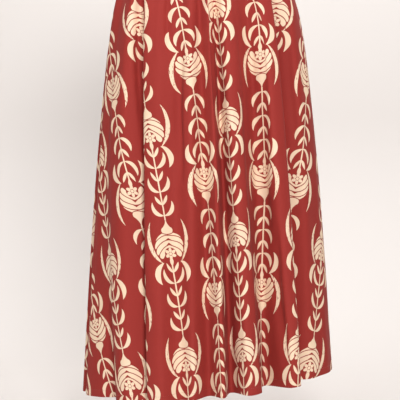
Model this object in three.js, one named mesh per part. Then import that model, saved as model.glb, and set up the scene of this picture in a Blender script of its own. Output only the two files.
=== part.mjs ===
// A maxi skirt of printed cloth, gathered into an elasticated waistband. Millimetres, +Z up.
// The origin is the middle of the waist, level with the top edge of the band. The front faces -Y.
// Levels are measured down from the origin, and angles in plan run from the middle of the front
// towards +X and on round the back.
import * as THREE from 'three';

// Cloth and seams
const CLOTH = 1.5;
const BAND_CLOTH = 3;
const SEAM_GAP = 0.3;

// Levels
const BAND_HEIGHT = 35;
const HIP_DOWN = 120;
const HEM_DOWN = 961;
const HEM_TILT = 0.102;

// Gathers along the top of each panel: fine ones at the seam, and a broad one for each two below
const COLUMNS_A_GATHER = 4;
const FRONT_GATHERS = 24;
const BACK_GATHERS = 22;
const FINE_OUT = 3.5;
const FINE_FADE = 48;
const FINE_PINCH = 0.6;
const PINCH_REACH = 8;
const BROAD_OUT = 3.8;
const BROAD_RISE = 35;
const BROAD_FADE = 130;
const RUCHE_OUT = 1.2;

// Mesh: rows down a panel, closer together near the waist, and steps along a curve in each fold
const PANEL_ROWS = 14;
const ROW_SPREAD = 1.5;
const STEPS_A_FOLD = 24;

// Rows of named columns become objects
function table(columns, rows) {
  const names = columns.split(' ');
  return rows.map((row) => Object.fromEntries(names.map((name, i) => [name, row[i]])));
}

// The outline in plan without its folds, level by level
const SECTIONS = table('down halfWidth front back', [
  [0, 130, 96, 96],
  [35, 133, 98, 98],
  [60, 155, 112, 112],
  [120, 194, 132, 140],
  [200, 212, 146, 160],
  [345, 230, 160, 176],
  [600, 253, 180, 195],
  [961, 277, 205, 220],
]);

// The hanging folds, in order round the skirt: where each ridge or valley lies at the hip and at
// the hem, how far it stands out of the outline there, and how late it opens on the way down
const FOLDS = table('name hipAngle hemAngle hipOut hemOut grow', [
  ['seam_left', -97, -97, 0, 0, 1.0],
  ['left_crease', -86, -90, -5, -22, 0.6],
  ['left_ridge', -79, -83, 1, -12, 0.6],
  ['left_flat', -66, -66, -3, -28, 1.2],
  ['second_valley', -61, -51, -2, -44, 2.6],
  ['second_edge', -55, -45, 1, -10, 2.2],
  ['second_ridge', -52, -36, 3, 4, 0.9],
  ['deep_valley', -46, -21, -11, -36, 0.6],
  ['third_edge', -40.5, -25.5, 2, 8, 0.6],
  ['third_ridge', -30, -18, 6, 20, 0.8],
  ['third_dip', -18.5, -11, -6, -9, 1.0],
  ['centre_left', -9, -5, 5, 10, 0.9],
  ['centre_dip', -4.5, 2, -8, -26, 0.7],
  ['centre_ridge', 0.5, 7.5, 6, 18, 0.6],
  ['centre_valley', 4.7, 12.5, -16, -32, 0.7],
  ['fourth_ridge', 9.5, 18, 5, 28, 0.9],
  ['fourth_edge', 13.5, 23.5, 4, 19, 0.9],
  ['fourth_valley', 19, 26.5, -4, -22, 1.2],
  ['fifth_dip', 27, 32.5, -18, -50, 0.7],
  ['fifth_rise', 32.5, 37.5, 4, 24, 0.8],
  ['fifth_ridge', 39, 42, 6, 26, 0.9],
  ['tuck_start', 44, 44, 0, 14, 0.8],
  ['tuck_end', 46, 41, -20, -92, 0.5],
  ['tuck_return', 50, 44, -18, -94, 0.5],
  ['right_flat', 60, 57, 2, -12, 1.0],
  ['right_soft', 72, 66, 0, -6, 1.0],
  ['right_ridge', 82, 76, 0, 2, 1.0],
  ['seam_right', 97, 97, 0, 0, 1.0],
  ['back_valley_1', 109, 110, -5, -56, 0.8],
  ['back_ridge_1', 120, 123, 5, 24, 0.8],
  ['back_valley_2', 132, 133, -6, -52, 0.7],
  ['back_ridge_2', 144, 147, 6, 28, 0.8],
  ['back_valley_3', 155, 157, -5, -40, 1.0],
  ['back_ridge_3', 166, 169, 6, 28, 0.8],
  ['back_valley_4', 178, 180, -8, -60, 0.8],
  ['back_ridge_4', 190, 193, 5, 20, 0.9],
  ['back_valley_5', 201, 204, -5, -42, 0.9],
  ['back_ridge_5', 213, 216, 6, 32, 0.8],
  ['back_valley_6', 225, 227, -6, -56, 0.8],
  ['back_ridge_6', 237, 240, 5, 18, 0.9],
  ['back_valley_7', 250, 250, -5, -54, 0.8],
]);
const RIGHT_SEAM = FOLDS.findIndex((fold) => fold.name === 'seam_right');

const FRONT_COLUMNS = FRONT_GATHERS * COLUMNS_A_GATHER;
const BACK_COLUMNS = BACK_GATHERS * COLUMNS_A_GATHER;

const { clamp, degToRad, lerp, smoothstep } = THREE.MathUtils;

// How far a fold has opened on its way from the hip to the hem, from 0 to 1
const opened = (down) => clamp((down - HIP_DOWN) / (HEM_DOWN - HIP_DOWN), 0, 1);

// One column of SECTIONS at any level, by a smooth curve that never swings past its rows
function sectionValue(column, down) {
  const last = SECTIONS.length - 2;
  const found = SECTIONS.findLastIndex((section) => section.down <= down);
  const index = clamp(found, 0, last);
  const slope = (i) => {
    const run = SECTIONS[i + 1].down - SECTIONS[i].down;
    return (SECTIONS[i + 1][column] - SECTIONS[i][column]) / run;
  };
  const tangent = (i) => {
    if (i === 0) return slope(0);
    if (i > last) return slope(last);
    const before = slope(i - 1);
    const after = slope(i);
    return before * after > 0 ? (2 * before * after) / (before + after) : 0;
  };
  const start = SECTIONS[index];
  const end = SECTIONS[index + 1];
  const run = end.down - start.down;
  const t = (down - start.down) / run;
  return (1 + 2 * t) * (1 - t) ** 2 * start[column] + t * (1 - t) ** 2 * run * tangent(index)
    + t * t * (3 - 2 * t) * end[column] + t * t * (t - 1) * run * tangent(index + 1);
}

// The closed curve of the cloth in plan at a level, through the ridge or valley of every fold
function outlineAt(down) {
  const halfWidth = sectionValue('halfWidth', down);
  const front = sectionValue('front', down);
  const back = sectionValue('back', down);
  const risen = smoothstep(down, BAND_HEIGHT, HIP_DOWN);
  const points = FOLDS.map((fold) => {
    const late = opened(down) ** fold.grow;
    const angle = degToRad(lerp(fold.hipAngle, fold.hemAngle, late));
    const out = lerp(fold.hipOut, fold.hemOut, late) * risen;
    const depth = Math.cos(angle) > 0 ? front : back;
    const normal = new THREE.Vector3(depth * Math.sin(angle), -halfWidth * Math.cos(angle), 0);
    const base = new THREE.Vector3(halfWidth * Math.sin(angle), -depth * Math.cos(angle), 0);
    return base.addScaledVector(normal.normalize(), out);
  });
  const curve = new THREE.CatmullRomCurve3(points, true, 'centripetal');
  curve.arcLengthDivisions = FOLDS.length * STEPS_A_FOLD;
  return curve;
}

// The gathers' height out of the outline, at a part of the way along a panel's top
function gatherOut(along, gathers, down) {
  const fall = Math.max(down - BAND_HEIGHT, 0);
  const turn = 2 * Math.PI;
  const uneven = along + 0.05 / gathers * Math.sin(turn * 5.3 * along)
    + 0.12 / gathers * Math.sin(turn * 2.2 * along + 1);
  const pinched = FINE_OUT * (1 - FINE_PINCH * Math.exp(-fall / PINCH_REACH));
  const fine = pinched * Math.exp(-fall / FINE_FADE) * Math.cos(turn * gathers * uneven);
  const fading = (1 - Math.exp(-fall / BROAD_RISE)) * Math.exp(-fall / BROAD_FADE);
  const broad = BROAD_OUT * fading * Math.cos(turn * gathers / 2 * uneven + 0.8);
  const nearSeam = smoothstep(Math.min(along, 1 - along), 0, 1 / gathers);
  return (fine + broad) * nearSeam;
}

// The points of the closed ring at a level, each with its direction outwards. The front's columns
// come first, from the left seam, and then the back's.
function ringAt(down, waveOut) {
  const curve = outlineAt(down);
  const lengths = curve.getLengths();
  const whole = lengths.at(-1);
  const frontLength = lengths[RIGHT_SEAM * STEPS_A_FOLD];
  const panels = [
    { start: 0, length: frontLength, columns: FRONT_COLUMNS, gathers: FRONT_GATHERS },
    { start: frontLength, length: whole - frontLength, columns: BACK_COLUMNS, gathers: BACK_GATHERS },
  ];
  const points = [];
  for (const panel of panels) {
    for (let column = 0; column < panel.columns; column++) {
      const along = column / panel.columns;
      const at = (panel.start + panel.length * along) / whole;
      const tangent = curve.getTangentAt(at);
      const outwards = new THREE.Vector3(tangent.y, -tangent.x, 0);
      points.push(curve.getPointAt(at).addScaledVector(outwards, waveOut(along, panel.gathers, down)));
    }
  }
  return points.map((point, i) => {
    const before = points.at(i - 1);
    const after = points[(i + 1) % points.length];
    const tangent = after.clone().sub(before).normalize();
    const z = -down + HEM_TILT * point.x * opened(down);
    return {
      point: new THREE.Vector3(point.x, point.y, z),
      tangent,
      outwards: new THREE.Vector3(tangent.y, -tangent.x, 0),
    };
  });
}

// One row of a piece: the ring's points from its first column to its last, with both ends drawn
// back from the side seams, as an outer row and the inner row that lies a cloth's thickness in
function pieceRow(ring, first, columns, thickness) {
  const outer = [];
  const inner = [];
  for (let column = 0; column <= columns; column++) {
    const { point, tangent, outwards } = ring[(first + column) % ring.length];
    const back = column === 0 ? SEAM_GAP / 2 : column === columns ? -SEAM_GAP / 2 : 0;
    const place = point.clone().addScaledVector(tangent, back);
    outer.push(place);
    inner.push(place.clone().addScaledVector(outwards, -thickness));
  }
  return { outer, inner };
}

// A closed wall through rows of outer and inner points, top row first
function wallGeometry(rows) {
  const width = rows[0].outer.length;
  const height = rows.length;
  const positions = rows.flatMap(({ outer, inner }) => [...outer, ...inner])
    .flatMap((point) => point.toArray());
  const outer = (row, column) => row * 2 * width + column;
  const inner = (row, column) => outer(row, column) + width;
  const index = [];
  const quad = (a, b, c, d) => index.push(a, b, c, a, c, d);
  for (let row = 0; row < height - 1; row++) {
    const next = row + 1;
    for (let column = 0; column < width - 1; column++) {
      const right = column + 1;
      quad(outer(row, column), outer(next, column), outer(next, right), outer(row, right));
      quad(inner(row, column), inner(row, right), inner(next, right), inner(next, column));
    }
    const end = width - 1;
    quad(outer(row, 0), inner(row, 0), inner(next, 0), outer(next, 0));
    quad(outer(row, end), outer(next, end), inner(next, end), inner(row, end));
  }
  const foot = height - 1;
  for (let column = 0; column < width - 1; column++) {
    const right = column + 1;
    quad(outer(0, column), outer(0, right), inner(0, right), inner(0, column));
    quad(outer(foot, right), outer(foot, column), inner(foot, column), inner(foot, right));
  }
  const geometry = new THREE.BufferGeometry();
  geometry.setAttribute('position', new THREE.Float32BufferAttribute(positions, 3));
  geometry.setIndex(index);
  geometry.computeVertexNormals();
  return geometry;
}

function cloth(colour) {
  return new THREE.MeshStandardMaterial({ color: colour, roughness: 0.75, metalness: 0 });
}

// The two skirt panels hang from the lower edge of the band
function panelLevels() {
  const top = BAND_HEIGHT + SEAM_GAP;
  const levels = [];
  for (let row = 0; row <= PANEL_ROWS; row++) {
    levels.push(lerp(top, HEM_DOWN, (row / PANEL_ROWS) ** ROW_SPREAD));
  }
  return levels;
}

function makePanel(name, rings, first, columns) {
  const rows = rings.map((ring) => pieceRow(ring, first, columns, CLOTH));
  const panel = new THREE.Mesh(wallGeometry(rows), cloth(0xb0433b));
  panel.name = name;
  return panel;
}

// The band is a casing of the same cloth, ruched by the elastic inside it. Its ruches follow the
// panels' gathers.
const rucheOut = (along, gathers) => RUCHE_OUT * gatherOut(along, gathers, BAND_HEIGHT)
  / (FINE_OUT * (1 - FINE_PINCH));

function makeBand(name, rings, first, columns) {
  const rows = rings.map((ring) => pieceRow(ring, first, columns, BAND_CLOTH));
  const band = new THREE.Mesh(wallGeometry(rows), cloth(0xa63f38));
  band.name = name;
  return band;
}

const panelRings = panelLevels().map((down) => ringAt(down, gatherOut));
const bandRings = [0, BAND_HEIGHT / 2, BAND_HEIGHT].map((down) => ringAt(down, rucheOut));

const skirt = new THREE.Group();
skirt.name = 'maxi_skirt';
skirt.add(
  makePanel('front_panel', panelRings, 0, FRONT_COLUMNS),
  makePanel('back_panel', panelRings, FRONT_COLUMNS, BACK_COLUMNS),
  makeBand('waistband_front', bandRings, 0, FRONT_COLUMNS),
  makeBand('waistband_back', bandRings, FRONT_COLUMNS, BACK_COLUMNS),
);

export default skirt;
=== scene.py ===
import math

import bpy
import numpy as np
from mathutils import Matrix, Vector


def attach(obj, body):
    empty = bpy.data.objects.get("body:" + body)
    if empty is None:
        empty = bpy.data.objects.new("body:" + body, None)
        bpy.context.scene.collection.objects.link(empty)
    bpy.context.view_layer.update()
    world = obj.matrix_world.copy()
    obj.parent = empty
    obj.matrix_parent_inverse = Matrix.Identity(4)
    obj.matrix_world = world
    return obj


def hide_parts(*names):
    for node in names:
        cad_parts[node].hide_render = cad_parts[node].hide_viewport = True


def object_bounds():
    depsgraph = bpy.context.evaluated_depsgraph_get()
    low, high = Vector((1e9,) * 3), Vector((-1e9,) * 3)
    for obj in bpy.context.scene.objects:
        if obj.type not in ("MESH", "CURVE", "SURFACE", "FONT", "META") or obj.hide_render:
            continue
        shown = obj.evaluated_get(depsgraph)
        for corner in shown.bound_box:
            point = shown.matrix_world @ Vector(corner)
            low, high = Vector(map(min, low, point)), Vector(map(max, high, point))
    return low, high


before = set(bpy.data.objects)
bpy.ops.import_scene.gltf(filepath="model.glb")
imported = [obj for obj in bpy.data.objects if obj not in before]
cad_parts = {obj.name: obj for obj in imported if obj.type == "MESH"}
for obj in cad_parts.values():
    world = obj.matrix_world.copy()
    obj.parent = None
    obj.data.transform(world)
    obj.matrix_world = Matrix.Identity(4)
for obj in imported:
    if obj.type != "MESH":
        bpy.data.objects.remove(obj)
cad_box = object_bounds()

MM = 0.001
scene = bpy.context.scene

# Camera
# It stands level with the thighs and looks a little down, so that the skirt fills the picture from
# the hip to the hem and its waist lies just above the top edge.
CAMERA_PLACE = (0.0, -3.2, -0.364)
CAMERA_PITCH = 3.5
PICTURE_WIDTH = 400
FOCAL_PIXELS = 1457
SKIRT_MIDDLE_PIXEL = 205.5
SENSOR = 36

lens = bpy.data.cameras.new("camera")
lens.sensor_width = SENSOR
lens.lens = SENSOR * FOCAL_PIXELS / PICTURE_WIDTH
lens.shift_x = (PICTURE_WIDTH / 2 - SKIRT_MIDDLE_PIXEL) / PICTURE_WIDTH
camera = bpy.data.objects.new("camera", lens)
camera.location = CAMERA_PLACE
camera.rotation_euler = (math.radians(90 - CAMERA_PITCH), 0, 0)
scene.collection.objects.link(camera)
scene.camera = camera
scene.view_settings.view_transform = "Standard"

# Studio
# A seamless cream paper runs down behind the skirt and out over the floor below the hem. The main
# light stands at the front, a little to the right, a weak one on the left opens the shadows, and a
# third one lights the paper alone.
PAPER_COLOUR = (0.70, 0.665, 0.64, 1)
PAPER_ROUGHNESS = 0.9
FLOOR_BELOW_HEM = 0.09
PAPER_BEHIND = 1.5
PAPER_AHEAD = 4.5
PAPER_BEND = 0.7
PAPER_HALF_WIDTH = 5.0
PAPER_TOP = 3.2
BEND_STEPS = 16

floor_height = cad_box[0][2] - FLOOR_BELOW_HEM
paper_profile = [(-PAPER_AHEAD, floor_height)]
for step in range(BEND_STEPS + 1):
    turn = math.pi / 2 * step / BEND_STEPS
    depth = PAPER_BEHIND - PAPER_BEND + PAPER_BEND * math.sin(turn)
    height = floor_height + PAPER_BEND * (1 - math.cos(turn))
    paper_profile.append((depth, height))
paper_profile.append((PAPER_BEHIND, PAPER_TOP))
paper_points = []
for depth, height in paper_profile:
    paper_points.append((-PAPER_HALF_WIDTH, depth, height))
    paper_points.append((PAPER_HALF_WIDTH, depth, height))
paper_faces = [(2 * i, 2 * i + 1, 2 * i + 3, 2 * i + 2) for i in range(len(paper_profile) - 1)]
paper_mesh = bpy.data.meshes.new("paper")
paper_mesh.from_pydata(paper_points, [], paper_faces)
paper_mesh.polygons.foreach_set("use_smooth", [True] * len(paper_faces))
paper = bpy.data.objects.new("paper", paper_mesh)
scene.collection.objects.link(paper)
# Its back lets everything through, so that it doesn't hide the skirt from behind.
paper_finish = bpy.data.materials.new("paper")
paper_finish.use_nodes = True
paper_tree = paper_finish.node_tree
paper_shader = paper_tree.nodes["Principled BSDF"]
paper_shader.inputs["Base Color"].default_value = PAPER_COLOUR
paper_shader.inputs["Roughness"].default_value = PAPER_ROUGHNESS
clear_back = paper_tree.nodes.new("ShaderNodeBsdfTransparent")
faces_away = paper_tree.nodes.new("ShaderNodeNewGeometry")
two_sides = paper_tree.nodes.new("ShaderNodeMixShader")
paper_tree.links.new(faces_away.outputs["Backfacing"], two_sides.inputs[0])
paper_tree.links.new(paper_shader.outputs["BSDF"], two_sides.inputs[1])
paper_tree.links.new(clear_back.outputs["BSDF"], two_sides.inputs[2])
paper_tree.links.new(two_sides.outputs["Shader"], paper_tree.nodes["Material Output"].inputs["Surface"])
paper_mesh.materials.append(paper_finish)

SKIRT_CENTRE = (0, 0, -0.5)
PAPER_CENTRE = (0, 1.5, -0.5)
LIGHTS = {
    "main": {"place": (0.45, -3.2, 0.3), "aim": SKIRT_CENTRE, "size": 0.7, "watts": 70},
    "fill": {"place": (-2.6, -2.0, 0.3), "aim": SKIRT_CENTRE, "size": 2.2, "watts": 22},
    "paper": {"place": (0.2, 0.4, 1.7), "aim": PAPER_CENTRE, "size": 2.4, "watts": 73},
}
WORLD_COLOUR = (1.0, 0.94, 0.88, 1)
WORLD_STRENGTH = 0.15
for name, light in LIGHTS.items():
    lamp = bpy.data.lights.new(name + "_light", "AREA")
    lamp.size = light["size"]
    lamp.energy = light["watts"]
    lamp_object = bpy.data.objects.new(name + "_light", lamp)
    lamp_object.location = light["place"]
    aim = Vector(light["aim"]) - Vector(light["place"])
    lamp_object.rotation_euler = aim.to_track_quat("-Z", "Y").to_euler()
    scene.collection.objects.link(lamp_object)

world = bpy.data.worlds.new("studio")
world.use_nodes = True
world.node_tree.nodes["Background"].inputs["Color"].default_value = WORLD_COLOUR
world.node_tree.nodes["Background"].inputs["Strength"].default_value = WORLD_STRENGTH
scene.world = world

# Front and back panels: hanging form
# Two flared panels of light woven viscose, sewn together at the sides and gathered into the band.
# They hang in long folds that start as gathers at the waist and open out towards the hem.
BAND_HEIGHT = 35
SEAM_GAP = 0.3
HIP_DOWN = 120
HEM_DOWN = 961
HEM_TILT = 0.102
# The outline in plan without its folds: level, half its width, its reach to the front and the back
SECTIONS = np.array([
    (0, 130, 96, 96),
    (35, 133, 98, 98),
    (60, 155, 112, 112),
    (120, 194, 132, 140),
    (200, 212, 146, 160),
    (345, 230, 160, 176),
    (600, 253, 180, 195),
    (961, 277, 205, 220),
], float)
# Each fold: its angle in plan at the hip and at the hem, how far it stands out of the outline at
# the hip and at the hem, and how late it opens on the way down. Between the ridges right of the
# middle one column of the print goes into a deep tuck.
FOLDS = {
    "seam_left": (-97, -97, 0, 0, 1.0),
    "left_crease": (-86, -90, -5, -22, 0.6),
    "left_ridge": (-79, -83, 1, -12, 0.6),
    "left_flat": (-66, -66, -3, -28, 1.2),
    "second_valley": (-61, -51, -2, -44, 2.6),
    "second_edge": (-55, -45, 1, -10, 2.2),
    "second_ridge": (-52, -36, 3, 4, 0.9),
    "deep_valley": (-46, -21, -11, -36, 0.6),
    "third_edge": (-40.5, -25.5, 2, 8, 0.6),
    "third_ridge": (-30, -18, 6, 20, 0.8),
    "third_dip": (-18.5, -11, -6, -9, 1.0),
    "centre_left": (-9, -5, 5, 10, 0.9),
    "centre_dip": (-4.5, 2, -8, -26, 0.7),
    "centre_ridge": (0.5, 7.5, 6, 18, 0.6),
    "centre_valley": (4.7, 12.5, -16, -32, 0.7),
    "fourth_ridge": (9.5, 18, 5, 28, 0.9),
    "fourth_edge": (13.5, 23.5, 4, 19, 0.9),
    "fourth_valley": (19, 26.5, -4, -22, 1.2),
    "fifth_dip": (27, 32.5, -18, -50, 0.7),
    "fifth_rise": (32.5, 37.5, 4, 24, 0.8),
    "fifth_ridge": (39, 42, 6, 26, 0.9),
    "tuck_start": (44, 44, 0, 14, 0.8),
    "tuck_end": (46, 41, -20, -92, 0.5),
    "tuck_return": (50, 44, -18, -94, 0.5),
    "right_flat": (60, 57, 2, -12, 1.0),
    "right_soft": (72, 66, 0, -6, 1.0),
    "right_ridge": (82, 76, 0, 2, 1.0),
    "seam_right": (97, 97, 0, 0, 1.0),
    "back_valley_1": (109, 110, -5, -56, 0.8),
    "back_ridge_1": (120, 123, 5, 24, 0.8),
    "back_valley_2": (132, 133, -6, -52, 0.7),
    "back_ridge_2": (144, 147, 6, 28, 0.8),
    "back_valley_3": (155, 157, -5, -40, 1.0),
    "back_ridge_3": (166, 169, 6, 28, 0.8),
    "back_valley_4": (178, 180, -8, -60, 0.8),
    "back_ridge_4": (190, 193, 5, 20, 0.9),
    "back_valley_5": (201, 204, -5, -42, 0.9),
    "back_ridge_5": (213, 216, 6, 32, 0.8),
    "back_valley_6": (225, 227, -6, -56, 0.8),
    "back_ridge_6": (237, 240, 5, 18, 0.9),
    "back_valley_7": (250, 250, -5, -54, 0.8),
}
STEPS_A_FOLD = 24
FOLD_ROWS = np.array(list(FOLDS.values()))
RIGHT_SEAM = list(FOLDS).index("seam_right")
GATHERS = {"front": 24, "back": 22}
FINE_OUT = 3.5
FINE_FADE = 48
FINE_PINCH = 0.6
PINCH_REACH = 8
BROAD_OUT = 3.8
BROAD_RISE = 35
BROAD_FADE = 130
BROAD_START = 0.8
# How the gathers' spacing wanders: how far in gathers, how many waves along the panel, and where
# each one starts
GATHER_DRIFT = ((0.05, 5.3, 0), (0.12, 2.2, 1))


def smooth(value):
    value = np.clip(value, 0, 1)
    return value * value * (3 - 2 * value)


def opened(down):
    return np.clip((down - HIP_DOWN) / (HEM_DOWN - HIP_DOWN), 0, 1)


def section_at(down):
    """Half width, front and back of the plain outline, by a curve that never swings past its rows."""
    levels, sizes = SECTIONS[:, 0], SECTIONS[:, 1:]
    runs = np.diff(levels)
    slopes = np.diff(sizes, axis=0) / runs[:, None]
    tangents = np.zeros_like(sizes)
    same_way = slopes[:-1] * slopes[1:] > 0
    together = np.where(same_way, slopes[:-1] + slopes[1:], 1)
    tangents[1:-1] = np.where(same_way, 2 * slopes[:-1] * slopes[1:] / together, 0)
    tangents[0], tangents[-1] = slopes[0], slopes[-1]
    i = int(np.clip(np.searchsorted(levels, down, side="right") - 1, 0, len(runs) - 1))
    t = (down - levels[i]) / runs[i]
    start = (1 + 2 * t) * (1 - t) ** 2 * sizes[i] + t * (1 - t) ** 2 * runs[i] * tangents[i]
    end = t * t * (3 - 2 * t) * sizes[i + 1] + t * t * (t - 1) * runs[i] * tangents[i + 1]
    return start + end


def outline_at(down):
    """The cloth's closed curve in plan at a level, through the ridge or valley of every fold."""
    half_width, front, back = section_at(down)
    hip_angle, hem_angle, hip_out, hem_out, grow = FOLD_ROWS.T
    late = opened(down) ** grow
    angle = np.radians(hip_angle + (hem_angle - hip_angle) * late)
    risen = smooth((down - BAND_HEIGHT) / (HIP_DOWN - BAND_HEIGHT))
    out = (hip_out + (hem_out - hip_out) * late) * risen
    depth = np.where(np.cos(angle) > 0, front, back)
    normal = np.stack([depth * np.sin(angle), -half_width * np.cos(angle)], 1)
    normal /= np.linalg.norm(normal, axis=1, keepdims=True)
    knots = np.stack([half_width * np.sin(angle), -depth * np.cos(angle)], 1) + out[:, None] * normal
    p0, p1, p2, p3 = (np.roll(knots, 1 - k, axis=0)[:, None, :] for k in range(4))
    d0, d1, d2 = (np.sqrt(np.linalg.norm(b - a, axis=2, keepdims=True))
                  for a, b in ((p0, p1), (p1, p2), (p2, p3)))
    m1 = p2 - p1 + d1 * ((p1 - p0) / d0 - (p2 - p0) / (d0 + d1))
    m2 = p2 - p1 + d1 * ((p3 - p2) / d2 - (p3 - p1) / (d1 + d2))
    t = np.linspace(0, 1, STEPS_A_FOLD, endpoint=False)[None, :, None]
    curve = ((2 * t ** 3 - 3 * t ** 2 + 1) * p1 + (t ** 3 - 2 * t ** 2 + t) * m1
             + (3 * t ** 2 - 2 * t ** 3) * p2 + (t ** 3 - t ** 2) * m2)
    return curve.reshape(-1, 2)


def half_outline(half, down, columns):
    """Points evenly along the front's or the back's part of the outline, and their outward ways."""
    curve = outline_at(down)
    split = RIGHT_SEAM * STEPS_A_FOLD
    part = curve[:split + 1] if half == "front" else np.concatenate([curve[split:], curve[:1]])
    lengths = np.concatenate([[0], np.cumsum(np.linalg.norm(np.diff(part, axis=0), axis=1))])
    at = np.linspace(0, lengths[-1], columns + 1)
    points = np.stack([np.interp(at, lengths, part[:, axis]) for axis in range(2)], 1)
    along = np.gradient(points, axis=0)
    along /= np.linalg.norm(along, axis=1, keepdims=True)
    return points, np.stack([along[:, 1], -along[:, 0]], 1)


def gather_out(along, half, down):
    """The gathers' height out of the outline: fine ones at the seam, and broad ones below."""
    gathers = GATHERS[half]
    fall = max(down - BAND_HEIGHT, 0)
    turn = 2 * math.pi
    uneven = along
    for far, waves, start in GATHER_DRIFT:
        uneven = uneven + far / gathers * np.sin(turn * waves * along + start)
    fine = FINE_OUT * math.exp(-fall / FINE_FADE) * np.cos(turn * gathers * uneven)
    fine *= 1 - FINE_PINCH * math.exp(-fall / PINCH_REACH)
    fading = (1 - math.exp(-fall / BROAD_RISE)) * math.exp(-fall / BROAD_FADE)
    broad = BROAD_OUT * fading * np.cos(turn * gathers / 2 * uneven + BROAD_START)
    near_seam = smooth(np.minimum(along, 1 - along) * gathers)
    return (fine + broad) * near_seam


# Front and back panels: creases
# Small creases lie across and beside the big folds. Each row is one crease: where it starts and ends
# along the panel and down it, how wide it is and how far it stands out, in millimetres.
CREASES = {
    "front": [
        (0.05, 260, 0.06, 820, 8, -1.8),
        (0.10, 150, 0.12, 520, 10, 1.3),
        (0.16, 70, 0.18, 400, 9, -1.6),
        (0.195, 50, 0.212, 470, 8, -11.0),
        (0.25, 60, 0.26, 300, 9, 1.6),
        (0.29, 60, 0.31, 260, 7, -1.5),
        (0.325, 50, 0.32, 250, 7, -8.0),
        (0.35, 220, 0.345, 520, 8, -9.0),
        (0.39, 300, 0.38, 760, 14, 1.6),
        (0.43, 60, 0.44, 240, 7, 1.2),
        (0.475, 60, 0.462, 400, 9, -5.0),
        (0.52, 80, 0.53, 420, 8, 1.4),
        (0.58, 60, 0.59, 520, 7, -1.8),
        (0.63, 120, 0.62, 420, 9, 1.5),
        (0.69, 50, 0.655, 360, 13, -8.0),
        (0.66, 280, 0.642, 720, 16, -7.0),
        (0.80, 60, 0.79, 360, 8, 1.3),
        (0.86, 160, 0.865, 560, 9, -2.6),
        (0.93, 130, 0.91, 640, 10, 1.4),
        (0.28, 640, 0.32, 950, 14, 2.0),
        (0.33, 820, 0.38, 950, 6, -0.9),
        (0.36, 780, 0.43, 940, 6, 0.9),
        (0.41, 700, 0.47, 900, 7, -1.1),
        (0.44, 640, 0.50, 820, 8, 0.9),
        (0.55, 560, 0.53, 900, 10, -1.2),
        (0.668, 600, 0.685, 955, 15, -9.0),
        (0.79, 480, 0.80, 880, 10, -1.3),
        (0.89, 560, 0.87, 940, 9, 1.1),
        (0.95, 420, 0.94, 900, 8, -1.2),
    ],
    "back": [
        (0.06, 80, 0.07, 520, 9, -1.6),
        (0.14, 60, 0.13, 380, 8, 1.4),
        (0.21, 70, 0.23, 600, 9, -1.7),
        (0.29, 60, 0.28, 300, 7, -1.3),
        (0.35, 90, 0.36, 460, 10, 1.5),
        (0.43, 60, 0.42, 340, 7, -1.6),
        (0.51, 80, 0.52, 560, 9, -1.6),
        (0.58, 70, 0.57, 400, 8, 1.4),
        (0.66, 60, 0.68, 520, 9, -1.7),
        (0.74, 90, 0.73, 320, 8, 1.3),
        (0.82, 70, 0.81, 480, 9, -1.6),
        (0.91, 80, 0.92, 600, 10, -1.4),
        (0.31, 640, 0.27, 920, 9, -1.1),
        (0.48, 700, 0.53, 930, 8, 1.0),
        (0.63, 620, 0.60, 880, 9, -1.1),
        (0.77, 660, 0.81, 940, 8, 1.0),
    ],
}
CREASE_TAPER = 0.8
CREASE_BEND = 0.4
CREASE_WAVE = 7
CREASE_SHIFT = 40
# Slow waves over the whole cloth: height, turning along the panel and down it, start, and how each
# one's height turns on the way down, and from where
WAVES = (
    (1, 31, 0.011, 0, 0.017, 2),
    (0.6, 57, -0.019, 1, 0.009, 0),
)
WAVE_OUT = 0.7
SEAM_CALM = 1 / 25


def crease_out(along, half, down, width):
    """The small creases' height out of the fold, on a row of cloth that is this wide."""
    out = np.zeros_like(along)
    for start, top, end, bottom, reach, height in CREASES[half]:
        t = (down - top) / (bottom - top)
        if 0 < t < 1:
            away = (along - (start + (end - start) * t)) * width
            bend = CREASE_BEND * reach * math.sin(CREASE_WAVE * t + CREASE_SHIFT * start)
            taper = math.sin(math.pi * t) ** CREASE_TAPER
            out += height * taper * np.exp(-((away - bend) / reach) ** 2)
    slow = np.zeros_like(along)
    for height, across, fall, start, swell, swell_start in WAVES:
        wave = np.sin(across * along + fall * down + start)
        slow += height * wave * math.sin(swell * down + swell_start)
    near_seam = smooth(np.minimum(along, 1 - along) / SEAM_CALM)
    return (out + WAVE_OUT * opened(down) * slow) * near_seam


# Front and back panels: mesh
# The cut is a sector of a ring, so the print's columns hang upright in one place and lean beside it.
# Each panel's cloth is 0.8 mm thick here, with its printed face out, and its hem is turned up inside.
PANEL_COLUMNS = 320
PANEL_ROWS = 134
ROW_SPREAD = 1.25
CLOTH_THICKNESS = 0.8
TOP_CUT_WIDTH = 600
HEM_CUT_WIDTH = 1300
PANEL_LENGTH = HEM_DOWN - BAND_HEIGHT
CUT_RADIUS = TOP_CUT_WIDTH * PANEL_LENGTH / (HEM_CUT_WIDTH - TOP_CUT_WIDTH)
CUT_ANGLE = HEM_CUT_WIDTH / (CUT_RADIUS + PANEL_LENGTH)
UPRIGHT_ALONG = {"front": 0.57, "back": 0.45}
SEAM_DIP = 0.9
SEAM_REACH = 4
HEM_ALLOWANCE = 18
HEM_FOLD_RADIUS = 1.0
HEM_FOLD_STEPS = 4
HEM_INSIDE_ROWS = 3
HEM_STITCH_UP = 15


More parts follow.
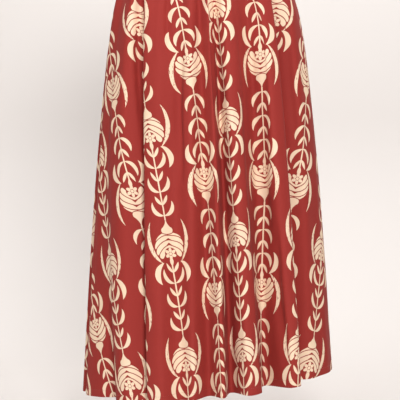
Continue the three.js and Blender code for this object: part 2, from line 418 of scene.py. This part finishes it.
def cloth_row(half, down, columns=PANEL_COLUMNS):
    """A row of points on the outside of a panel, in millimetres, and their outward ways."""
    points, outwards = half_outline(half, down, columns)
    along = np.linspace(0, 1, columns + 1)
    width = np.linalg.norm(np.diff(points, axis=0), axis=1).sum()
    from_seam = np.minimum(along, 1 - along) * width
    out = gather_out(along, half, down) + crease_out(along, half, down, width)
    out -= SEAM_DIP * np.exp(-(from_seam / SEAM_REACH) ** 2)
    points = points + out[:, None] * outwards
    height = -down + HEM_TILT * points[:, 0] * opened(down)
    return np.column_stack([points, height]), np.column_stack([outwards, np.zeros(columns + 1)])


def panel_grid(half):
    """A panel's outer points in millimetres, down to the hem, round its fold and up inside it."""
    first = BAND_HEIGHT + SEAM_GAP
    spread = np.linspace(0, 1, PANEL_ROWS + 1) ** ROW_SPREAD
    rows = [(first + (HEM_DOWN - HEM_FOLD_RADIUS - first) * part, 0) for part in spread]
    for step in range(1, HEM_FOLD_STEPS + 1):
        turn = math.pi * step / HEM_FOLD_STEPS
        lower = HEM_FOLD_RADIUS * (math.sin(turn) - 1)
        rows.append((HEM_DOWN + lower, HEM_FOLD_RADIUS * (1 - math.cos(turn))))
    for step in range(1, HEM_INSIDE_ROWS + 1):
        rows.append((HEM_DOWN - HEM_ALLOWANCE * step / HEM_INSIDE_ROWS, 2 * HEM_FOLD_RADIUS))
    grid = []
    for down, inside in rows:
        points, outwards = cloth_row(half, down)
        grid.append(points - inside * outwards)
    return np.array(grid)


def panel_cut(half, grid):
    """Where each point of a panel lies on the flat cut, in millimetres."""
    steps = np.linalg.norm(np.diff(grid, axis=0), axis=2)
    fall = np.concatenate([np.zeros((1, grid.shape[1])), np.cumsum(steps, axis=0)])
    turn = (np.linspace(0, 1, grid.shape[1]) - UPRIGHT_ALONG[half]) * CUT_ANGLE
    radius = CUT_RADIUS + fall
    return np.stack([radius * np.sin(turn), radius * np.cos(turn) - CUT_RADIUS], -1)


def cloth_piece(name, grid, cut, materials, thickness):
    """A sheet of cloth through a grid of points, top row first, with its flat cut as a UV map."""
    rows, wide = grid.shape[0], grid.shape[1]
    faces = []
    for row in range(rows - 1):
        for column in range(wide - 1):
            corner = row * wide + column
            faces.append((corner, corner + wide, corner + wide + 1, corner + 1))
    mesh = bpy.data.meshes.new(name)
    mesh.from_pydata((grid * MM).reshape(-1, 3).tolist(), [], faces)
    corners = np.zeros(len(mesh.loops), np.int32)
    mesh.loops.foreach_get("vertex_index", corners)
    flat = mesh.uv_layers.new(name="cut")
    flat.data.foreach_set("uv", (cut * MM).reshape(-1, 2)[corners].astype(np.float32).ravel())
    mesh.polygons.foreach_set("use_smooth", [True] * len(faces))
    for material in materials:
        mesh.materials.append(material)
    piece = bpy.data.objects.new(name, mesh)
    scene.collection.objects.link(piece)
    wall = piece.modifiers.new("thickness", "SOLIDIFY")
    wall.thickness = thickness * MM
    wall.offset = -1
    wall.material_offset = len(materials) - 1
    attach(piece, "root")
    return piece


# Front and back panels: printed cloth
# Plain-woven viscose with a soft sheen, dyed brick red and block printed in cream: garlands of
# leaves run up and down in turn, with a flower, its berries and two pairs of side leaves in each
# repeat. The print shows faintly through to the reverse.
RED = (0.350, 0.0385, 0.0310, 1)
DEEP_RED = (0.285, 0.0285, 0.0235, 1)
CREAM = (0.84, 0.63, 0.44, 1)
PALE_CREAM = (0.93, 0.72, 0.53, 1)
REVERSE_RED = (0.34, 0.055, 0.045, 1)
REVERSE_PRINT = (0.47, 0.14, 0.10, 1)
COLUMN_PITCH = 110
REPEAT = 240
MIDDLE_COLUMN = -41
FLOWER_LEVEL = 237
FLOWER_IN_REPEAT = 188
PRINT_EDGE = 0.4
PRINT_WOBBLE = 1.3
PRINT_WOBBLE_SCALE = 55
# Each leaf or petal lies between two arcs from its start to its end. Its columns: where it starts
# and ends, out from the stem and along the repeat, how far its upper and its lower edge bulge out
# of the straight line between them, and how round its tips are.
STEM_LEAVES = {
    "big": (0, 0, 20.5, 31, 13, -4.6, 0.5),
    "small": (0, 0, 13, 21, 4.4, 1.9, 0.5),
}
STEM_LEAF_STARTS = {"big": 9, "small": 31}
LEAF_SPACING = 50
LEAF_PAIRS = 3
LEAF_RISE = 6
SIDE_LEAVES = {
    "upper": (29, 108, 18, 153, 18, -6, 0.5),
    "long": (19, 150, 33, 240, 20, -11, 0.5),
}
PETALS = {
    "fifth": (-6, 218, 29, 208, -1, 9, 3),
    "fourth": (-6, 213, 37, 192, -1, 12, 3),
    "third": (-6, 207, 40, 174, -1.5, 13, 3),
    "second": (-6, 199, 38, 156, -1.5, 13, 3),
    "first": (-5, 190, 31, 140, -2, 12.5, 3),
}
FLOWER_MIDDLE = 185
FLOWER_HALF = 32
PETAL_ROUND = 9
PETAL_GAP = 1.8
STEM_HALF = 1.5
BUD_START = 143
BUD_LENGTH = 20
BUD_HALF = 4.2
BUD_SHARP = 0.2
BUD_LOW = 1.5
BUD_ROUND = 0.7
BERRIES_AT = 171
BERRY_RING = 8.2
BERRY_COUNT = 6
BERRY_LONG = 4.5
BERRY_WIDE = 3.5
BERRY_GROUND = 12.9
MIDDLE_BERRY = 3.1
CALYX_START = 212
CALYX_LENGTH = 28
CALYX_HALF = 12.5
CALYX_CURVE = ((0, 0.55), (0.1, 0.88), (0.3, 1.0), (0.55, 0.55), (0.8, 0.18), (1, 0.06))
CALYX_TOP_ROUND = 50
DRY_STRETCH = (9, 1, 1)
DRY_SCALE = 85
DRY_FROM = 0.60
DRY_DEPTH = 60


class Value:
    """A number, colour or direction that varies over a surface: the output of a shader node."""

    def __init__(self, tree, socket=None):
        self.tree = tree
        self.socket = socket

    def other(self, kind, settings, inputs, output=0):
        """The output of a new node of this kind, with its settings made and its sockets filled."""
        node = self.tree.nodes.new(kind)
        for name, setting in settings.items():
            if name == "curve":
                points = node.mapping.curves[0].points
                for place, height in setting[1:-1]:
                    points.new(place, height)
                for point, (place, height) in zip(points, setting):
                    point.location = (place, height)
                node.mapping.update()
            else:
                setattr(node, name, setting)
        for name, value in inputs.items():
            if isinstance(value, Value):
                self.tree.links.new(value.socket, node.inputs[name])
            else:
                node.inputs[name].default_value = value
        return Value(self.tree, node.outputs[output])

    def maths(self, operation, *values):
        return self.other("ShaderNodeMath", {"operation": operation}, dict(enumerate(values)))

    def __add__(self, value):
        return self.maths("ADD", self, value)

    def __radd__(self, value):
        return self.maths("ADD", value, self)

    def __sub__(self, value):
        return self.maths("SUBTRACT", self, value)

    def __rsub__(self, value):
        return self.maths("SUBTRACT", value, self)

    def __mul__(self, value):
        return self.maths("MULTIPLY", self, value)

    def __rmul__(self, value):
        return self.maths("MULTIPLY", value, self)

    def __truediv__(self, value):
        return self.maths("DIVIDE", self, value)

    def __pow__(self, value):
        return self.maths("POWER", self, value)

    def __abs__(self):
        return self.maths("ABSOLUTE", self)

    def floor(self):
        return self.maths("FLOOR", self)

    def part(self):
        return self.maths("FRACT", self)

    def root(self):
        return self.maths("SQRT", self)

    def at_least(self, value):
        return self.maths("MAXIMUM", self, value)

    def at_most(self, value):
        return self.maths("MINIMUM", self, value)

    def clamped(self):
        return self.at_least(0).at_most(1)

    def arch(self):
        """0 at 0 and at 1, and a round top of 1 between them."""
        return self.maths("SINE", self.clamped() * math.pi)

    def noise(self, scale, detail=2.0):
        """Soft noise from 0 to 1 over a direction, with this many lumps a metre."""
        sizes = {"Vector": self, "Scale": scale, "Detail": detail}
        return self.other("ShaderNodeTexNoise", {}, sizes, "Fac")

    def mixed(self, first, second):
        """A colour that is the first where this is 0 and the second where it is 1."""
        colours = {0: self, 6: first, 7: second}
        return self.other("ShaderNodeMix", {"data_type": "RGBA"}, colours, 2)

    def inside_arc(self, start, end, bulge):
        """How far a place is inside an arc that bulges this far to the upper side of its chord."""
        chord = end - start
        side = np.array([chord[1], -chord[0]]) / np.hypot(*chord)
        radius = (chord @ chord / 4 + bulge * bulge) / (2 * abs(bulge))
        centre = (start + end) / 2 + side * (bulge - math.copysign(radius, bulge))
        places = {0: self, 1: (*centre, 0)}
        away = self.other("ShaderNodeVectorMath", {"operation": "DISTANCE"}, places, "Value")
        return radius - away if bulge > 0 else away - radius

    def inside_leaf(self, start_x, start_y, end_x, end_y, upper, lower, tips):
        """How far a place is inside a leaf between two arcs."""
        start, end = np.array([start_x, start_y]), np.array([end_x, end_y])
        above = self.inside_arc(start, end, upper)
        return above.maths("SMOOTH_MIN", above, self.inside_arc(end, start, lower), tips)


def print_depth(cut):
    """How far each point of the cut lies inside the print's shapes, in millimetres."""
    wobble = (cut.noise(PRINT_WOBBLE_SCALE, 3.0) - 0.5) * PRINT_WOBBLE
    across = cut.other("ShaderNodeSeparateXYZ", {}, {"Vector": cut}, "X") / MM + wobble
    down = cut.other("ShaderNodeSeparateXYZ", {}, {"Vector": cut}, "Y") / MM + wobble
    place = (across - MIDDLE_COLUMN) / COLUMN_PITCH + 0.5
    column = place.floor()
    upwards = 1 - 2 * (column / 2).part()
    x = abs(place - column - 0.5) * COLUMN_PITCH
    from_flower = (down - FLOWER_LEVEL + upwards * (REPEAT / 2)) * (1 - 2 * upwards)
    y = (from_flower / REPEAT + FLOWER_IN_REPEAT / REPEAT).part() * REPEAT
    point = x.other("ShaderNodeCombineXYZ", {}, {"X": x, "Y": y})
    # Stem with its leaves
    depth = (STEM_HALF - x).at_most(BUD_START + BUD_LENGTH / 2 - y)
    for size, shape in STEM_LEAVES.items():
        count = (y - STEM_LEAF_STARTS[size] + LEAF_RISE) / LEAF_SPACING
        along = count.part() * LEAF_SPACING - LEAF_RISE
        beside = x.other("ShaderNodeCombineXYZ", {}, {"X": x, "Y": along})
        in_range = count.at_most(LEAF_PAIRS - count) * LEAF_SPACING
        depth = depth.at_least(beside.inside_leaf(*shape).at_most(in_range))
    # Petals, each in front of the one below it, and the calyx, whose point starts the next stem
    below = y - FLOWER_MIDDLE
    inside_flower = FLOWER_HALF - (x * x + below * below).root()
    for shape in PETALS.values():
        petal = point.inside_leaf(*shape)
        petal = petal.maths("SMOOTH_MIN", petal, inside_flower, PETAL_ROUND)
        depth = depth.at_most(-PETAL_GAP - petal).at_least(petal)
    t = ((y - CALYX_START) / CALYX_LENGTH).clamped()
    width = t.other("ShaderNodeFloatCurve", {"curve": CALYX_CURVE}, {"Value": t})
    calyx = (CALYX_HALF * width - x).at_most(y - CALYX_START - x * x / CALYX_TOP_ROUND)
    depth = depth.at_most(-PETAL_GAP - calyx).at_least(calyx)
    # Bud, and the berries in a ring round a middle one
    below = y - BERRIES_AT
    from_berries = (x * x + below * below).root()
    depth = depth.at_most(from_berries - BERRY_GROUND)
    bud = ((y - BUD_START) / BUD_LENGTH).clamped() ** BUD_LOW
    depth = depth.at_least(BUD_HALF * bud.arch() ** BUD_ROUND - x - BUD_SHARP)
    slice_angle = 2 * math.pi / BERRY_COUNT
    angle = x.maths("ARCTAN2", x, below) / slice_angle + 0.5
    sideways = (angle.part() - 0.5) * slice_angle * from_berries / BERRY_WIDE
    outwards = (from_berries - BERRY_RING) / BERRY_LONG
    berry = (1 - (sideways * sideways + outwards * outwards).root()) * BERRY_WIDE
    depth = depth.at_least(berry.at_least(MIDDLE_BERRY - from_berries))
    # Side leaves, dry-brushed where the block took too little ink
    streaks = cut.other("ShaderNodeMapping", {}, {"Vector": cut, "Scale": DRY_STRETCH})
    dry = (streaks.noise(DRY_SCALE, 2.0) - DRY_FROM).at_least(0) * DRY_DEPTH
    side = point.inside_leaf(*SIDE_LEAVES["upper"])
    side = side.at_least(point.inside_leaf(*SIDE_LEAVES["long"]) - dry)
    return depth.at_least(side)


# The weave and the dye: how long and how many the slubs are, how patchy the dye and the ink are, how
# rough and how crumpled the cloth is
SLUB_STRETCH = 26
SLUB_SCALE = 60
DYE_SCALE = 7
INK_SCALE = 30
BARE_ROUGHNESS = 0.66
GRAIN_ROUGHNESS = 0.10
PRINT_ROUGHNESS = 0.05
SHEEN_ROUGHNESS = 0.45
SPECULAR_LEVEL = 0.12
CRUMPLE_SCALE = 48
CRUMPLE_SHARE = 0.9
GRAIN_SHARE = 0.14
BUMP_STRENGTH = 0.35
BUMP_HEIGHT = 0.6


def cloth_material(name, red, deep_red, cream, pale_cream, sheen):
    """Printed cloth with a woven grain, which follows the cloth's own cut."""
    material = bpy.data.materials.new(name)
    material.use_nodes = True
    tree = material.node_tree
    shader = tree.nodes["Principled BSDF"]
    cut = Value(tree).other("ShaderNodeUVMap", {"uv_map": "cut"}, {}, "UV")
    printed = (print_depth(cut) / PRINT_EDGE + 0.5).clamped()
    # Slubs in the warp and the weft: long thin lumps that cross each other
    warp_ways = {"Vector": cut, "Scale": (SLUB_STRETCH, 1, 1)}
    weft_ways = {"Vector": cut, "Scale": (1, SLUB_STRETCH, 1)}
    warp = cut.other("ShaderNodeMapping", {}, warp_ways).noise(SLUB_SCALE)
    weft = cut.other("ShaderNodeMapping", {}, weft_ways).noise(SLUB_SCALE)
    grain = (warp + weft) / 2
    dye = (cut.noise(DYE_SCALE, 3.0) * 0.7 + grain * 0.5).clamped()
    ground = dye.mixed(deep_red, red)
    ink = (cut.noise(INK_SCALE, 4.0) * 0.6 + grain * 0.5).clamped().mixed(cream, pale_cream)
    colour = printed.mixed(ground, ink)
    tree.links.new(colour.socket, shader.inputs["Base Color"])
    roughness = BARE_ROUGHNESS + GRAIN_ROUGHNESS * grain + PRINT_ROUGHNESS * printed
    tree.links.new(roughness.socket, shader.inputs["Roughness"])
    shader.inputs["Sheen Weight"].default_value = sheen
    shader.inputs["Sheen Roughness"].default_value = SHEEN_ROUGHNESS
    shader.inputs["Specular IOR Level"].default_value = SPECULAR_LEVEL
    crumple = cut.noise(CRUMPLE_SCALE, 2.0) * CRUMPLE_SHARE + grain * GRAIN_SHARE
    bump = {"Height": crumple, "Strength": BUMP_STRENGTH, "Distance": BUMP_HEIGHT * MM}
    tree.links.new(cut.other("ShaderNodeBump", {}, bump).socket, shader.inputs["Normal"])
    return material


FACE_SHEEN = 0.02
REVERSE_SHEEN = 0.10
printed_face = cloth_material("skirt_cloth", RED, DEEP_RED, CREAM, PALE_CREAM, FACE_SHEEN)
printed_reverse = cloth_material("skirt_cloth_reverse", REVERSE_RED, REVERSE_RED,
                                 REVERSE_PRINT, REVERSE_PRINT, REVERSE_SHEEN)

# Front and back panels: pieces
# The front and the back are cut alike and sewn along their sides. Each one's cut size and area are
# worked out with its turned-up hem, as wide as the whole cloth before the band gathers it.
hem_radius = CUT_RADIUS + PANEL_LENGTH + HEM_ALLOWANCE
cut_size = (
    2 * hem_radius * math.sin(CUT_ANGLE / 2) * MM,
    (hem_radius - CUT_RADIUS * math.cos(CUT_ANGLE / 2)) * MM,
)
cut_area = CUT_ANGLE / 2 * (hem_radius ** 2 - CUT_RADIUS ** 2) * MM * MM
grids = {}
for half in ("front", "back"):
    grids[half] = panel_grid(half)
    cut = panel_cut(half, grids[half])
    cloths = (printed_face, printed_reverse)
    cloth_piece(half + "_cloth", grids[half], cut, cloths, CLOTH_THICKNESS)
    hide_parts(half + "_panel")

# Side seams
# The seam allowances of the front and the back are pressed open inside each side seam, so each seam
# shows outside as a narrow line, and inside as a flat strip of the cloth's reverse.
ALLOWANCE_COLUMNS = 4
ALLOWANCE_INSIDE = 1.4
ALLOWANCE_THICKNESS = 0.6
hem_rows = HEM_FOLD_STEPS + HEM_INSIDE_ROWS + 1
for side in ("left", "right"):
    front_part = slice(0, ALLOWANCE_COLUMNS) if side == "left" else slice(-ALLOWANCE_COLUMNS, None)
    back_part = slice(-ALLOWANCE_COLUMNS, None) if side == "left" else slice(0, ALLOWANCE_COLUMNS)
    front_edge = grids["front"][:-hem_rows, front_part]
    back_edge = grids["back"][:-hem_rows, back_part]
    strips = (back_edge, front_edge) if side == "left" else (front_edge, back_edge)
    strip = np.concatenate(strips, axis=1)
    across = strip[:, -1] - strip[:, 0]
    across /= np.linalg.norm(across, axis=1, keepdims=True)
    inwards = np.stack([-across[:, 1], across[:, 0], np.zeros(len(across))], 1)
    strip = strip + ALLOWANCE_INSIDE * inwards[:, None, :]
    widths = np.linalg.norm(strip - strip[:, :1], axis=2)
    levels = np.broadcast_to(-strip[:, :, 2], widths.shape)
    name = "seam_allowance_" + side
    allowance = cloth_piece(name, strip, np.stack([widths, levels], -1), (printed_reverse,),
                            ALLOWANCE_THICKNESS)

for half in ("front", "back"):
    side = "left" if half == "front" else "right"

# Waistband
# A strip of the same cloth folded double over an elastic, which ruches it. Three rows of stitching
# go through the cloth and the elastic all round and press the ruches flat.
BAND_CUT_WIDTH = 600
BAND_THICKNESS = 0.6
BAND_CASING = 3.0
BAND_COLUMNS = 448
RUCHES = 56
RUCHE_OUT = 1.5
BAND_PUFF = 0.9
BAND_STITCH_ROWS = (9, 17.5, 26)
BAND_STITCH_REACH = 1.6
BAND_EDGE = 3
EDGE_RUCHE = 0.35
STITCH_PRESS = 0.7
# How the ruches' spacing wanders: how far in ruches, how many waves along the band, and where each
# one starts; and how they lean on the way down
RUCHE_DRIFT = ((0.35, 7.3, 0), (0.3, 3.1, 2))
RUCHE_LEAN = 0.5
RUCHE_LEAN_RATE = 0.4
RUCHE_LEAN_WAVES = 11
BAND_LOWER_GAP = 0.2
BAND_ROW_STEP = 1.7
BAND_ROWS = 20
BAND_FOLD_STEPS = 6
BAND_PRINT_PLACE = {"front": (-300, 1240), "back": (150, 1310)}


def band_row(half, down, inside):
    """A row of points round half of the band, on its outer face or on its inner one."""
    points, outwards = half_outline(half, down, BAND_COLUMNS)
    along = np.linspace(0, 1, BAND_COLUMNS + 1)
    turn = 2 * math.pi
    uneven = RUCHES * along
    for far, waves, start in RUCHE_DRIFT:
        uneven = uneven + far * np.sin(turn * waves * along + start)
    pressed = sum(math.exp(-((down - row) / BAND_STITCH_REACH) ** 2) for row in BAND_STITCH_ROWS)
    edge = smooth(down / BAND_EDGE) * smooth((BAND_HEIGHT - down) / BAND_EDGE)
    lean = RUCHE_LEAN * math.sin(RUCHE_LEAN_RATE * down) * np.sin(turn * RUCHE_LEAN_WAVES * along)
    height = RUCHE_OUT * (EDGE_RUCHE + (1 - EDGE_RUCHE) * edge) * (1 - STITCH_PRESS * pressed)
    out = height * np.sin(turn * uneven + lean) + BAND_PUFF * edge * (1 - pressed)
    out = out * smooth(np.minimum(along, 1 - along) * RUCHES / 2) - inside
    points = points + out[:, None] * outwards
    return np.column_stack([points, np.full(BAND_COLUMNS + 1, -down)])


band_levels = [BAND_HEIGHT - BAND_LOWER_GAP - BAND_ROW_STEP * step for step in range(BAND_ROWS)]
fold_radius = (BAND_CASING - BAND_THICKNESS) / 2
band_rows = [(down, 0) for down in band_levels]
for step in range(1, BAND_FOLD_STEPS):
    turn = math.pi * step / BAND_FOLD_STEPS
    band_rows.append((fold_radius * (1 - math.sin(turn)), fold_radius * (1 - math.cos(turn))))
band_rows += [(down, 2 * fold_radius) for down in reversed(band_levels[::2])]

band_face = cloth_material("band_cloth", RED, DEEP_RED, CREAM, PALE_CREAM, FACE_SHEEN)
for half in ("front", "back"):
    grid = np.array([band_row(half, down, inside) for down, inside in reversed(band_rows)])
    steps = np.linalg.norm(np.diff(grid, axis=0), axis=2)
    fall = np.concatenate([np.zeros((1, grid.shape[1])), np.cumsum(steps, axis=0)])
    start_across, start_down = BAND_PRINT_PLACE[half]
    across = start_across + BAND_CUT_WIDTH * np.linspace(0, 1, grid.shape[1])
    cut = np.stack([np.broadcast_to(across, fall.shape), start_down + fall], -1)
    band = cloth_piece("band_" + half, grid, cut, (band_face, printed_reverse), BAND_THICKNESS)
    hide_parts("waistband_" + half)

# Stitching
# Matt red thread in short running stitches: three rows round the band, one just below it that holds
# the gathers, and one round the hem that holds its turned-up edge.
STITCH = {"length": 2.6, "spacing": 3.6, "radius": 0.28}
THREAD_RED = (0.31, 0.028, 0.024, 1)
THREAD_SHADE = 0.7
THREAD_FIBRES = 2600
THREAD_ROUGHNESS = 0.7
THREAD_SHEEN = 0.3
GATHER_STITCH_DOWN = 38
STITCH_SIDES = 6
STITCH_RINGS = 4

thread = bpy.data.materials.new("sewing_thread")
thread.use_nodes = True
thread_shader = thread.node_tree.nodes["Principled BSDF"]
places = Value(thread.node_tree).other("ShaderNodeTexCoord", {}, {}, "Object")
dark_red = tuple(part * THREAD_SHADE for part in THREAD_RED[:3]) + (1,)
thread_colour = places.noise(THREAD_FIBRES).mixed(dark_red, THREAD_RED)
thread.node_tree.links.new(thread_colour.socket, thread_shader.inputs["Base Color"])
thread_shader.inputs["Roughness"].default_value = THREAD_ROUGHNESS
thread_shader.inputs["Sheen Weight"].default_value = THREAD_SHEEN


def stitch_tree():
    """Geometry Nodes that lay stitches end to end along the edges of a mesh."""
    tree = bpy.data.node_groups.new("stitches", "GeometryNodeTree")
    tree.interface.new_socket("Geometry", in_out="INPUT", socket_type="NodeSocketGeometry")
    for label in ("Stitch length", "Stitch spacing", "Thread radius"):
        tree.interface.new_socket(label, in_out="INPUT", socket_type="NodeSocketFloat")
    tree.interface.new_socket("Geometry", in_out="OUTPUT", socket_type="NodeSocketGeometry")
    given = tree.nodes.new("NodeGroupInput")
    line = tree.nodes.new("GeometryNodeMeshToCurve")
    spread = tree.nodes.new("GeometryNodeCurveToPoints")
    spread.mode = "LENGTH"
    turned = tree.nodes.new("FunctionNodeAlignRotationToVector")
    turned.axis = "Z"
    bead = tree.nodes.new("GeometryNodeMeshUVSphere")
    bead.inputs["Segments"].default_value = STITCH_SIDES
    bead.inputs["Rings"].default_value = STITCH_RINGS
    bead.inputs["Radius"].default_value = 1.0
    size = tree.nodes.new("ShaderNodeCombineXYZ")
    halved = tree.nodes.new("ShaderNodeMath")
    halved.operation = "MULTIPLY"
    halved.inputs[1].default_value = 0.5
    laid = tree.nodes.new("GeometryNodeInstanceOnPoints")
    made = tree.nodes.new("GeometryNodeRealizeInstances")
    smoothed = tree.nodes.new("GeometryNodeSetShadeSmooth")
    finish = tree.nodes.new("GeometryNodeSetMaterial")
    finish.inputs["Material"].default_value = thread
    result = tree.nodes.new("NodeGroupOutput")
    links = (
        (given.outputs["Geometry"], line.inputs["Mesh"]),
        (line.outputs["Curve"], spread.inputs["Curve"]),
        (given.outputs["Stitch spacing"], spread.inputs["Length"]),
        (spread.outputs["Points"], laid.inputs["Points"]),
        (spread.outputs["Tangent"], turned.inputs["Vector"]),
        (turned.outputs["Rotation"], laid.inputs["Rotation"]),
        (bead.outputs["Mesh"], laid.inputs["Instance"]),
        (given.outputs["Thread radius"], size.inputs["X"]),
        (given.outputs["Thread radius"], size.inputs["Y"]),
        (given.outputs["Stitch length"], halved.inputs[0]),
        (halved.outputs[0], size.inputs["Z"]),
        (size.outputs["Vector"], laid.inputs["Scale"]),
        (laid.outputs["Instances"], made.inputs["Geometry"]),
        (made.outputs["Geometry"], smoothed.inputs["Geometry"]),
        (smoothed.outputs["Geometry"], finish.inputs["Geometry"]),
        (finish.outputs["Geometry"], result.inputs["Geometry"]),
    )
    for output, socket in links:
        tree.links.new(output, socket)
    return tree


def stitched(name, lines):
    """Stitches along some lines of points in millimetres, as one plain mesh."""
    points = []
    edges = []
    for line in lines:
        edges += [(len(points) + i, len(points) + i + 1) for i in range(len(line) - 1)]
        points += [tuple(point) for point in line * MM]
    path = bpy.data.meshes.new(name + "_line")
    path.from_pydata(points, edges, [])
    guide = bpy.data.objects.new(name + "_line", path)
    scene.collection.objects.link(guide)
    nodes = guide.modifiers.new("stitches", "NODES")
    nodes.node_group = stitches
    sizes = {"Stitch length": STITCH["length"], "Stitch spacing": STITCH["spacing"],
             "Thread radius": STITCH["radius"]}
    for item in stitches.interface.items_tree:
        if item.name in sizes:
            nodes[item.identifier] = sizes[item.name] * MM
    evaluated = guide.evaluated_get(bpy.context.evaluated_depsgraph_get())
    mesh = bpy.data.meshes.new_from_object(evaluated)
    mesh.name = name
    bpy.data.objects.remove(guide)
    piece = bpy.data.objects.new(name, mesh)
    scene.collection.objects.link(piece)
    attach(piece, "root")
    return piece


stitches = stitch_tree()
band_lines = [band_row(half, down, 0) for half in ("front", "back") for down in BAND_STITCH_ROWS]
stitched("band_stitching", band_lines)
stitched("gather_stitching", [cloth_row(half, GATHER_STITCH_DOWN)[0] for half in ("front", "back")])
hem_stitch_down = HEM_DOWN - HEM_STITCH_UP
stitched("hem_stitching", [cloth_row(half, hem_stitch_down)[0] for half in ("front", "back")])
